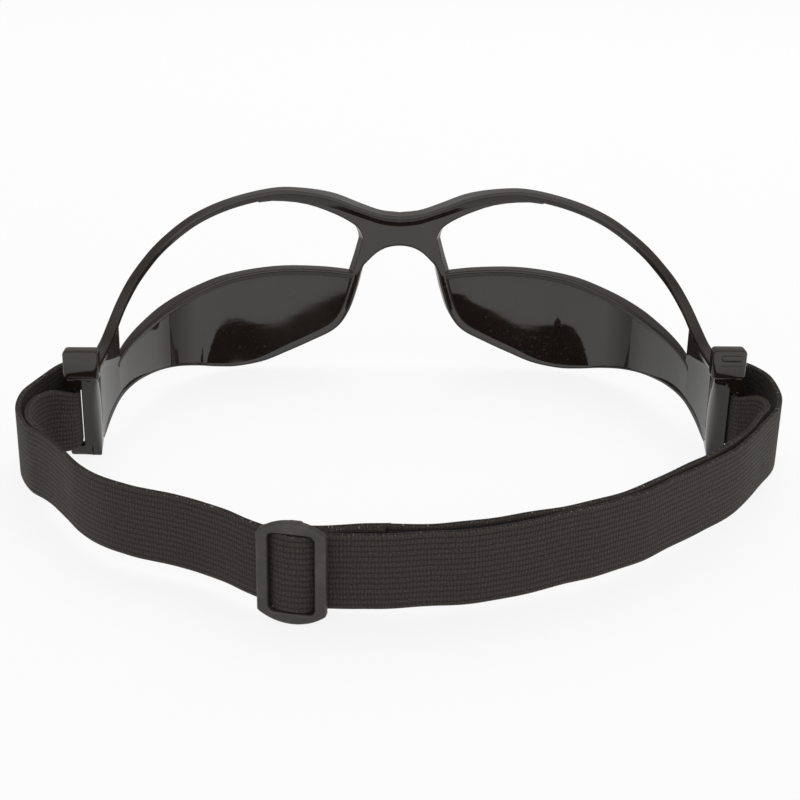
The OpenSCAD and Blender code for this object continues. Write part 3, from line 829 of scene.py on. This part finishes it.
def sewSeam(name, a, b, body, replaced):
    # zigzag between two plan points in the middle of the webbing, on its side towards the head
    bm = newMesh("along", "across")
    inward = (Vector(strap["centre"]) - (a + b) / 2).normalized()
    a, b = a + inward * seams["off"], b + inward * seams["off"]
    tall = strap["wide"] - 2 * seams["margin"]
    zig = []
    for i in range(seams["stitches"] + 1):
        z = strap["low"] + seams["margin"] + tall * i / seams["stitches"]
        zig.append(Vector((*a.lerp(b, 0.18 if i % 2 else 0.82), z)))
    out = inward.to_3d()
    round6 = steps(0, 2 * math.pi * 5 / 6, 5)
    for p, q in zip(zig, zig[1:]):
        rings, marks = [], []
        side = (q - p).normalized().cross(out).normalized()
        for u in steps(0, 1, 8):
            lift = (1 - (2 * u - 1) ** 4) * seams["rise"] - seams["sunk"]
            centre = p.lerp(q, u) + out * lift
            ring = [centre + (side * math.cos(t) + out * math.sin(t)) * seams["thread"] for t in round6]
            rings.append([c * mm for c in ring])
            marks.append([((q - p).length * u, j / 6) for j in range(6)])
        sweep(bm, rings, marks)
    piece = finishPiece(bm, name, threadMaterial, 80.0)
    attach(piece, body)
    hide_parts(replaced)


sewSeam("left_seam_stitches", *seam, "goggles", "left_bartack")
sewSeam("end_seam_stitches", inLayer(14.8, backR), inLayer(12.0, backR), "slide", "end_bartack")
print("seams sewn")


# Table, studio light and the photograph's camera. Both are white to the camera. In reflections they are
# bright behind the camera and dim in front of it, and the world is dimmer as a light
studio = {"table": (0.86, 0.86, 0.86), "tableSize": 3.0, "worldLevel": 0.5,
          "mirrorBack": 1.4, "mirrorFront": 0.38, "mirrorFrom": -0.3, "mirrorTo": 0.4,
          "seenShare": 0.86, "mirrorShare": 0.8}


def mirrored(p, vector):
    y = p.node("ShaderNodeSeparateXYZ", {}, {"Vector": vector}, "Y")
    return p.node("ShaderNodeMapRange", {}, {
        "Value": y, "From Min": studio["mirrorFrom"], "From Max": studio["mirrorTo"],
        "To Min": studio["mirrorBack"], "To Max": studio["mirrorFront"]})


def makeTable():
    bm = bmesh.new()
    bmesh.ops.create_grid(bm, x_segments=1, y_segments=1, size=studio["tableSize"])
    mesh = bpy.data.meshes.new("table")
    bm.to_mesh(mesh)
    bm.free()
    table = bpy.data.objects.new("table", mesh)
    bpy.context.collection.objects.link(table)
    p = Paint(bpy.data.materials.new("white_table"))
    mesh.materials.append(p.finish(studio["table"], 0.6))
    camera, glossy = (p.node("ShaderNodeLightPath", output=ray) for ray in ("Is Camera Ray", "Is Glossy Ray"))
    level = mirrored(p, p.place()) * glossy + camera
    glow = p.node("ShaderNodeEmission", {}, {"Color": (1, 1, 1), "Strength": level})
    share = camera * studio["seenShare"] + glossy * studio["mirrorShare"]
    joined = p.node("ShaderNodeMixShader", {}, {0: share, 1: Wire(p, p.shader.outputs[0]), 2: glow})
    p.feed(p.tree.nodes["Material Output"].inputs["Surface"], joined)


def makeWorld():
    p = Paint(bpy.data.worlds.new("studio"))
    bpy.context.scene.world = p.owner
    camera, glossy = (p.node("ShaderNodeLightPath", output=ray) for ray in ("Is Camera Ray", "Is Glossy Ray"))
    mirror = mirrored(p, p.node("ShaderNodeTexCoord", output="Generated"))
    light = p.node("ShaderNodeMix", {"data_type": "FLOAT"}, {0: glossy, 2: studio["worldLevel"], 3: mirror})
    level = p.node("ShaderNodeMix", {"data_type": "FLOAT"}, {0: camera, 2: light, 3: 1.0})
    background = p.tree.nodes["Background"]
    p.feed(background.inputs["Strength"], level)
    p.feed(background.inputs["Color"], (1, 1, 1))


def softbox(name, place, target, size, power):
    lamp = bpy.data.lights.new(name, "AREA")
    lamp.shape, lamp.size, lamp.size_y, lamp.energy = "RECTANGLE", size[0], size[1], power
    made = bpy.data.objects.new(name, lamp)
    made.location = place
    made.rotation_euler = (Vector(target) - Vector(place)).to_track_quat("-Z", "Y").to_euler()
    made.visible_glossy = False    # else its edge shows as a step in the plastic
    bpy.context.collection.objects.link(made)


makeTable()
makeWorld()
softbox("frontTop", (0.1, 0.6, 0.95), (0, 0.02, 0.0), (1.4, 1.0), 8.0)
softbox("behindRight", (0.7, -0.7, 0.8), (0, 0, 0.02), (0.9, 0.9), 2.6)

view = {"place": (-11.8, -296.0, 136.3), "down": 22.0, "roll": 0.35, "focus": 1469.0, "centreX": 352.4,
        "picture": 800, "sensor": 36.0}
lens = bpy.data.cameras.new("photoCamera")
lens.sensor_width = view["sensor"]
lens.lens = view["focus"] / view["picture"] * view["sensor"]
lens.shift_x = (view["picture"] / 2 - view["centreX"]) / view["picture"]
lens.clip_start, lens.clip_end = 0.01, 20
camera = bpy.data.objects.new("photoCamera", lens)
tilt = Matrix.Rotation(math.radians(90 - view["down"]), 4, "X")
roll = Matrix.Rotation(math.radians(view["roll"]), 4, "Z")
camera.matrix_world = Matrix.Translation(Vector(view["place"]) * mm) @ tilt @ roll
bpy.context.collection.objects.link(camera)
bpy.context.scene.camera = camera
bpy.context.scene.view_settings.view_transform = "Standard"

print("scene done")
